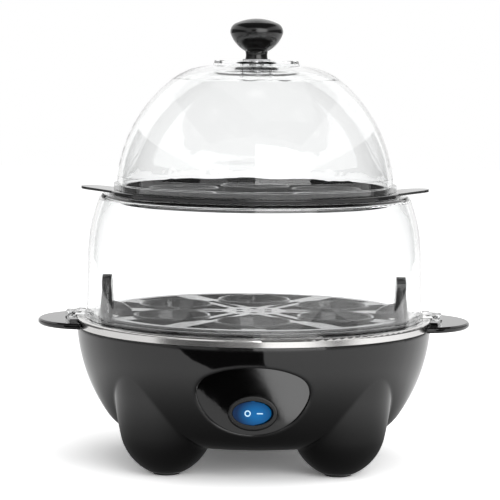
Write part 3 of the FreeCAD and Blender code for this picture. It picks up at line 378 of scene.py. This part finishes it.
def lit_lens(name, glow, strength):
    finish, tree, shader = start_finish(name, lens_colour, lens_roughness)
    shader.inputs["Specular IOR Level"].default_value = lens_shine
    source = falloff(tree, lens_middle + Vector((lamp_offset, 0, 0)), glow_reach)
    tree.links.new(tint(tree, source, glow_end, glow), shader.inputs["Emission Color"])
    shader.inputs["Emission Strength"].default_value = strength
    return finish


finishes["lens_blue"] = lit_lens("lens_blue", lens_glow, lens_strength)
finishes["lamp_blue"] = lit_lens("lamp_blue", lamp_glow, lamp_strength)
print("lens middle", [round(value, 4) for value in lens_middle])

# %% [markdown]
# The two marks are left clear in the lens's print, so the lamp shines through them almost white. A white paint would
# be darker than the lens round it, so they give off light too, a little unevenly, as a lamp behind print does.

# %% Glowing print
print_colour, print_roughness = (0.3, 0.4, 0.5), 0.3
print_glow, print_strength = (0.55, 0.85, 1.0), 0.75
print_blotch, print_dimmest = 0.002, 0.85


def glowing_print(name):
    finish, tree, shader = start_finish(name, print_colour, print_roughness)
    blotches = spread(tree, noise(tree, print_blotch), print_strength * print_dimmest, print_strength)
    tree.links.new(blotches, shader.inputs["Emission Strength"])
    shader.inputs["Emission Color"].default_value = (*print_glow, 1)
    return finish


finishes["mark_white"] = glowing_print("mark_white")
print("print glows at", print_strength)

# %% [markdown]
# The model's record names the finish that each part takes. Each part could be dressed by hand, but the record already
# knows, so a loop looks its finish up in the table. Three black parts take a polish of their own instead.

# %% Dress every part of the model
own_polish = {"base_housing": "bowl_black", "control_panel": "panel_black", "lid_knob": "knob_black"}
parts = frame["record"]["subparts"]
for part in parts:
    materials = nodes[part["node"]].data.materials
    materials.clear()
    materials.append(finishes[own_polish.get(part["node"], part["material_slot"])])
print(len(parts), "parts dressed in", len(finishes), "finishes")

# %% [markdown]
# The lens carries the two usual marks of a rocker, a ring for off and a bar for on. They could be painted in the
# material, but a printed edge is sharp from every distance only if it is a shape. So each mark is a film that lies
# six hundredths of a millimetre over the lens. The lens is saddle-shaped and tipped, and the film is laid on it
# point by point: a ray is cast along the facet's normal to find the surface.

# %% A point on the lens
rocker = nodes["switch_rocker"]
facet_lean = math.radians(8)
facet_normal = Vector((0, -math.cos(facet_lean), math.sin(facet_lean)))
facet_up = Vector((0, math.sin(facet_lean), math.cos(facet_lean)))
ray_start = 0.03
mark_film = 0.00006


def laid_on_lens(across, up):
    """Point of the lens's surface straight behind a place on the facet, raised by the film."""
    start = lens_middle + Vector((across, 0, 0)) + facet_up * up + facet_normal * ray_start
    inverse = rocker.matrix_world.inverted()
    hit, place, normal, index = rocker.ray_cast(inverse @ start, inverse.to_3x3() @ -facet_normal)
    return rocker.matrix_world @ place + facet_normal * mark_film


print("facet leans back", round(math.degrees(facet_lean), 1), "degrees")

# %% [markdown]
# The marks are drawn flat first, as points across and up the facet. A curve object could hold them too, but plain
# points are easier to lay on the lens one by one. The bar is a circle pulled apart in the middle, which gives it
# rounded ends, and it comes with its middle line.

# %% Outlines of the marks
def circle(radius, across, points=32):
    turns = [2 * math.pi * index / points for index in range(points)]
    return [(across + radius * math.cos(turn), radius * math.sin(turn)) for turn in turns]


def bar(half_length, half_width, across, points=16):
    """Rounded bar, as its middle line and its edge."""
    straight = half_length - half_width
    round_end = circle(half_width, 0, points)
    spine = [(across + math.copysign(straight, x), 0) for x, y in round_end]
    edge = [(across + x + math.copysign(straight, x), y) for x, y in round_end]
    return spine, edge


off_place, off_inner, off_outer = -0.0022, 0.0010, 0.0016
on_place, on_half_length, on_half_width = 0.0040, 0.0016, 0.0003
ring_outlines = circle(off_inner, off_place), circle(off_outer, off_place)
bar_outlines = bar(on_half_length, on_half_width, on_place)
print("ring", 2000 * off_outer, "mm and bar", 2000 * on_half_length, "mm across")

# %% [markdown]
# Both marks are bands between two outlines: the ring between two circles, and the bar between its middle line and
# its edge. A flat face over a whole mark would sink into the saddle of the lens, and narrow faces all follow it.

# %% Marks on the lens
def join_rows(build, first, second):
    """Faces between two closed rows of points."""
    for index in range(len(first)):
        after = (index + 1) % len(first)
        build.faces.new((first[index], first[after], second[after], second[index]))


def band(name, inner, outer):
    """Film between two closed outlines with the same number of points."""
    mesh = bpy.data.meshes.new(name)
    build = bmesh.new()
    rows = [[build.verts.new(laid_on_lens(*point)) for point in outline] for outline in (inner, outer)]
    join_rows(build, *rows)
    build.to_mesh(mesh)
    build.free()
    mesh.materials.append(finishes["mark_white"])
    piece = add_object(name, mesh)
    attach(piece, "rocker")
    print(name, "laid on the lens with", len(mesh.polygons), "faces")


band("off_mark", *ring_outlines)
band("on_mark", *bar_outlines)

# %% [markdown]
# The screws hold the bottom cover, the grips and the knob, all from below. Their heads in the model are plain, and
# real ones have a cross for the screwdriver. A dark cross painted on would look flat from the side. So a tapered cross
# is built here, which is then cut out of the face of each head.

# %% A tapered cross for the screwdriver
cross_reach_share = 0.58
cross_width_share = 0.20
cross_depth_share = 0.42
cross_taper_share = 0.45


def cross_outline(reach, width):
    """Corners of a cross, anticlockwise."""
    half = width / 2
    arm = [(reach, -half), (reach, half), (half, half)]
    corners = []
    for quarter in range(4):
        turn = Matrix.Rotation(quarter * math.pi / 2, 2)
        corners += [turn @ Vector(corner) for corner in arm]
    return corners


def cross_cutter(build, middle, face, radius):
    """Tapered cross that starts just under the face of a head and points up into it."""
    skin = radius * cross_width_share / 4
    depth = radius * cross_depth_share
    rows = []
    for height, scale in ((face - skin, 1.0), (face + depth, cross_taper_share)):
        outline = cross_outline(radius * cross_reach_share * scale, radius * cross_width_share * scale)
        rows.append([build.verts.new((middle.x + x, middle.y + y, height)) for x, y in outline])
    build.faces.new(reversed(rows[0]))
    build.faces.new(rows[1])
    join_rows(build, *rows)


print("cross reaches", cross_reach_share, "of a head's radius")

# %% [markdown]
# Some nodes of the model hold several screws. Their places could be typed in here, but then they would be wrong as
# soon as the model changes. A search that walks from corner to corner along the edges finds each separate screw, and
# its box gives the middle, the face and the radius of its head.

# %% Find each screw
weld_distance = 1e-7


def islands(mesh):
    """Lowest and highest corners of each separate solid in a mesh, in the order of their places."""
    build = bmesh.new()
    build.from_mesh(mesh)
    bmesh.ops.remove_doubles(build, verts=build.verts, dist=weld_distance)
    unvisited = set(build.verts)
    found = []
    while unvisited:
        waiting = [unvisited.pop()]
        island = []
        while waiting:
            vert = waiting.pop()
            island.append(vert.co.copy())
            for edge in vert.link_edges:
                other = edge.other_vert(vert)
                if other in unvisited:
                    unvisited.remove(other)
                    waiting.append(other)
        found.append([Vector(limit(point[axis] for point in island) for axis in range(3)) for limit in (min, max)])
    build.free()
    return sorted(found, key=lambda corners: corners[0].to_tuple())


screw_nodes = {"cover_screws": "base", "grip_screws": "barrel", "knob_screw": "lid"}
print({node: len(islands(nodes[node].data)) for node in screw_nodes}, "screws found")

# %% [markdown]
# Each screw becomes a copy of the model's own, so its length and its head stay right, and a boolean takes the cross
# out of it. The cut could stay a live modifier, but it is applied at once and the cutter is thrown away, so the
# piece is a plain mesh. The copy then takes the plain screw's place on the same body.

# %% Cross-recessed screws
def applied_cut(mesh, cutter_mesh):
    """Mesh with a cutter taken out of it."""
    plain = add_object("plain_screws", mesh.copy())
    cutter = add_object("cross_cutter", cutter_mesh)
    cut = plain.modifiers.new("cross", "BOOLEAN")
    cut.operation = "DIFFERENCE"
    cut.solver = "EXACT"
    cut.object = cutter
    bpy.context.view_layer.update()
    result = bpy.data.meshes.new_from_object(plain.evaluated_get(bpy.context.evaluated_depsgraph_get()))
    for helper in (cutter, plain):
        bpy.data.objects.remove(helper)
    return result


def recessed_screws(node, body):
    """Copy of a node's screws with a cross in each head. Takes the node's place."""
    build = bmesh.new()
    for low, high in islands(nodes[node].data):
        cross_cutter(build, (low + high) / 2, low.z, (high.x - low.x) / 2)
    cutter_mesh = bpy.data.meshes.new("cross_cutter")
    build.to_mesh(cutter_mesh)
    build.free()
    mesh = applied_cut(nodes[node].data, cutter_mesh)
    mesh.materials.clear()
    mesh.materials.append(finishes["screw_steel"])
    piece = add_object("recessed_" + node, mesh)
    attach(piece, body)
    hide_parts(node)
    print(piece.name, "has", len(mesh.polygons), "faces")


for node, body in screw_nodes.items():
    recessed_screws(node, body)

# %% [markdown]
# The studio is drawn with surfaces that look different to different rays. Lights that clip the floor to white would
# also clip the cooker, so the floor and the room are made lighter only where a ray of a given kind sees them. These
# helpers start a bare material or world, name a grey, and tell the kinds of rays apart.

# %% Helpers for the studio
def bare_tree(owner):
    """Empty node tree of a new material or world."""
    owner.use_nodes = True
    owner.node_tree.nodes.clear()
    return owner.node_tree


def grey(value):
    return (value, value, value, 1)


def seen_by(tree, *kinds):
    """One for rays of the named kinds, and nought for all others."""
    rays = add_node(tree, "ShaderNodeLightPath")
    total = rays.outputs[kinds[0]]
    for kind in kinds[1:]:
        either = add_node(tree, "ShaderNodeMath", operation="MAXIMUM")
        tree.links.new(total, either.inputs[0])
        tree.links.new(rays.outputs[kind], either.inputs[1])
        total = either.outputs["Value"]
    return total


def flat_sheet(name, corners, finish):
    """Flat piece of the studio, from its corners."""
    sheet = bpy.data.meshes.new(name)
    sheet.from_pydata(corners, [], [tuple(range(len(corners)))])
    sheet.materials.append(finish)
    piece = add_object(name, sheet)
    return piece


print("studio helpers ready")

# %% [markdown]
# The floor is one pale sheet. It could be a curved backdrop, which hides the line between floor and wall, but its
# curve would show in the black gloss. The camera, straight or through the clear plastic, sees this sheet lighter than
# it is, so that it meets the white behind it without a line and keeps the soft shadow of the cooker. Reflections see
# it less than halfway, and the light that it throws back up is that of a pale sheet.

# %% Floor
floor_half_width = 3.0
floor_colour = 0.82
floor_gain = 2.1
floor_lift = 0.07
floor_mirrored = 0.4


def floor_finish():
    finish = bpy.data.materials.new("pale_floor")
    tree = bare_tree(finish)
    plain = add_node(tree, "ShaderNodeBsdfDiffuse", Color=grey(floor_colour))
    bright = add_node(tree, "ShaderNodeBsdfDiffuse", Color=grey(floor_gain))
    lift = add_node(tree, "ShaderNodeEmission", Color=grey(1), Strength=floor_lift)
    lifted = add_node(tree, "ShaderNodeAddShader")
    tree.links.new(bright.outputs["BSDF"], lifted.inputs[0])
    tree.links.new(lift.outputs["Emission"], lifted.inputs[1])
    share = add_node(tree, "ShaderNodeMath", operation="MULTIPLY_ADD")
    share.inputs[1].default_value = floor_mirrored
    tree.links.new(seen_by(tree, "Is Glossy Ray"), share.inputs[0])
    tree.links.new(seen_by(tree, "Is Camera Ray", "Is Transmission Ray"), share.inputs[2])
    choose = add_node(tree, "ShaderNodeMixShader")
    tree.links.new(share.outputs["Value"], choose.inputs["Fac"])
    tree.links.new(plain.outputs["BSDF"], choose.inputs[1])
    tree.links.new(lifted.outputs["Shader"], choose.inputs[2])
    output = add_node(tree, "ShaderNodeOutputMaterial")
    tree.links.new(choose.outputs["Shader"], output.inputs["Surface"])
    return finish


square = ((-1, -1), (1, -1), (1, 1), (-1, 1))
floor_corners = [(floor_half_width * x, floor_half_width * y, 0) for x, y in square]
flat_sheet("floor", floor_corners, floor_finish())
print("floor", 2 * floor_half_width, "metres wide")

# %% [markdown]
# Black gloss shows the studio more than itself. One large softbox stands in front on the right, and its left edge is
# the upright line on the bowl where the tones change. A lamp can be given in watts, but its face then gets darker as
# it gets larger. Here each softbox is given by the brightness of its face, which is what the gloss reflects. The two
# others only light the cooker: a soft one from above, and one from the right that draws the shadow to the left.

# %% Softboxes
def hide_from(thing, *kinds):
    """Hides a light or a sheet from some kinds of rays."""
    for kind in kinds:
        setattr(thing, "visible_" + kind, False)


def softbox(name, width, height, radiance, place, target, hidden=()):
    """Light with a set brightness of its face, hidden from some kinds of rays."""
    light = bpy.data.lights.new(name, "AREA")
    light.shape = "RECTANGLE"
    light.size = width
    light.size_y = height
    light.energy = radiance * math.pi * width * height
    lamp = add_object(name, light)
    lamp.location = place
    lamp.rotation_euler = (Vector(target) - Vector(place)).to_track_quat("-Z", "Y").to_euler()
    hide_from(lamp, *hidden)
    print(name, width, "x", height, "metres,", round(light.energy, 1), "watts")


softbox("softbox_right", 1.5, 1.14, 2.4, place=(0.75, -1.35, 0.735), target=(0.75, 0, 0.735))
softbox("softbox_top", 1.6, 1.2, 0.6, place=(0.2, 0.1, 1.5), target=(0, 0, 0), hidden=["glossy"])
softbox("softbox_side", 1.0, 0.5, 2.0, place=(1.5, -0.1, 0.55), target=(0, 0, 0), hidden=["glossy", "transmission"])

# %% [markdown]
# The rest of what the gloss shows is drawn with cards, as a photographer does with black and white board. Real board
# would also shade the cooker. These cards are seen by reflections alone, so each can be set without changing the
# light. A card can fade out round a point, because a hard edge would draw a sharp shape on the bowl.

# %% A card for the reflections
def card_finish(name, brightness, fade):
    """Glow of a set brightness. A fade is a middle, the radius where it has gone and the radius where it is full."""
    finish = bpy.data.materials.new(name)
    tree = bare_tree(finish)
    glow = add_node(tree, "ShaderNodeEmission", Color=grey(1), Strength=brightness)
    shown = glow.outputs["Emission"]
    if fade:
        middle, gone, full = fade
        ramp = add_node(tree, "ShaderNodeMapRange", interpolation_type="SMOOTHSTEP")
        ramp.inputs["From Max"].default_value = 1 - full / gone
        clear = add_node(tree, "ShaderNodeBsdfTransparent")
        mix = add_node(tree, "ShaderNodeMixShader")
        tree.links.new(falloff(tree, middle, (gone, gone, gone)), ramp.inputs["Value"])
        tree.links.new(ramp.outputs["Result"], mix.inputs["Fac"])
        tree.links.new(clear.outputs["BSDF"], mix.inputs[1])
        tree.links.new(shown, mix.inputs[2])
        shown = mix.outputs["Shader"]
    output = add_node(tree, "ShaderNodeOutputMaterial")
    tree.links.new(shown, output.inputs["Surface"])
    return finish


def card(name, corners, brightness, fade=None, through_clear=False):
    """Card that only reflections see, and rays through the clear plastic where this is asked for."""
    piece = flat_sheet(name, corners, card_finish(name, brightness, fade))
    hide_from(piece, "camera", "diffuse", "shadow")
    if not through_clear:
        hide_from(piece, "transmission")
    print(name, "at brightness", brightness)


print("cards ready")

# %% [markdown]
# A black card hides the room left of the softbox, and its slanted corner is mirrored in the panel as the slanted end
# of the light there. A dark card at each side stands where the clear walls turn away from the eye. Without them the
# edges of the barrel and the lid would vanish in the white, so these two also show through the clear plastic. The
# ceiling is dark. Smaller softboxes could draw the same edges, but they would also change the light on the cooker.

# %% Standing cards
left_card_place = -1.34
left_card_outline = ((-0.55, 0.9), (0.0, 0.9), (0.0, 0.235), (0.036, 0.165), (-0.02, 0.165), (-0.06, 0.20),
                     (-0.55, 0.21))
card("left_card", [(x, left_card_place, z) for x, z in left_card_outline], brightness=0.01)

side_card_place = 0.7
side_card_outline = ((-0.7, 0.14), (0.2, 0.14), (0.2, 0.02), (0.9, 0.02), (0.9, 0.45), (-0.7, 0.45))
for side in (-1, 1):
    side_corners = [(side * side_card_place, y, z) for y, z in side_card_outline]
    card("side_card", side_corners, brightness=0.15, through_clear=True)

ceiling_height, ceiling_reach = 1.4, 1.2
ceiling_corners = [(ceiling_reach * x, ceiling_reach * y, ceiling_height) for x, y in square]
card("ceiling_card", ceiling_corners, brightness=0.12)

# %% [markdown]
# The bowl, the legs and the underside of the rim mirror the floor. A darker floor would make them black, but it would
# show in the picture. Dark paper in front gives the black under the rim, a white sheet to its right lights the front
# of the steel ring, and a grey paper further right keeps the ring's right end from going white. The shade under the
# body darkens the legs and all that lies between them.

# %% Cards on the floor
paper_height = 0.002


def on_floor(corners):
    """Corners in plan, laid just above the floor."""
    return [(x, y, paper_height) for x, y in corners]


dark_paper = [(-0.75, -0.85), (0.07, -0.85), (0.02, -0.17), (-0.10, -0.20), (-0.30, -0.28), (-0.75, -0.38)]
dark_paper_right = [(0.45, -0.85), (0.9, -0.85), (0.9, -0.30), (0.40, -0.33)]
white_sheet = [(0.04, -0.42), (0.24, -0.36), (0.48, -0.76), (0.078, -0.9)]
card("dark_paper", on_floor(dark_paper), brightness=0.03)
card("dark_paper_right", on_floor(dark_paper_right), brightness=0.1)
card("white_sheet", on_floor(white_sheet), brightness=1.5)

shade_reach, shade_gone, shade_full = 0.3, 0.20, 0.06
shade = [(shade_reach * x, shade_reach * y) for x, y in square]
card("shade_under_body", on_floor(shade), brightness=0.08, fade=((0, 0, paper_height), shade_gone, shade_full))

# %% [markdown]
# The room itself is the world behind everything. A room at full brightness would light the cooker from all sides and
# take its shadow away. So it lights the cooker with half of its brightness, while the camera, the reflections and the
# rays through the clear plastic see it as plain white.

# %% White room
room_light, room_shown = 0.5, 1.0


def white_room():
    world = bpy.data.worlds.new("white_room")
    tree = bare_tree(world)
    lit = add_node(tree, "ShaderNodeBackground", Color=grey(1), Strength=room_light)
    shown = add_node(tree, "ShaderNodeBackground", Color=grey(1), Strength=room_shown)
    choose = add_node(tree, "ShaderNodeMixShader")
    output = add_node(tree, "ShaderNodeOutputWorld")
    kinds = seen_by(tree, "Is Camera Ray", "Is Glossy Ray", "Is Transmission Ray")
    tree.links.new(kinds, choose.inputs["Fac"])
    tree.links.new(lit.outputs["Background"], choose.inputs[1])
    tree.links.new(shown.outputs["Background"], choose.inputs[2])
    tree.links.new(choose.outputs["Shader"], output.inputs["Surface"])
    return world


scene.world = white_room()
scene.view_settings.view_transform = "Standard"
print("studio ready")
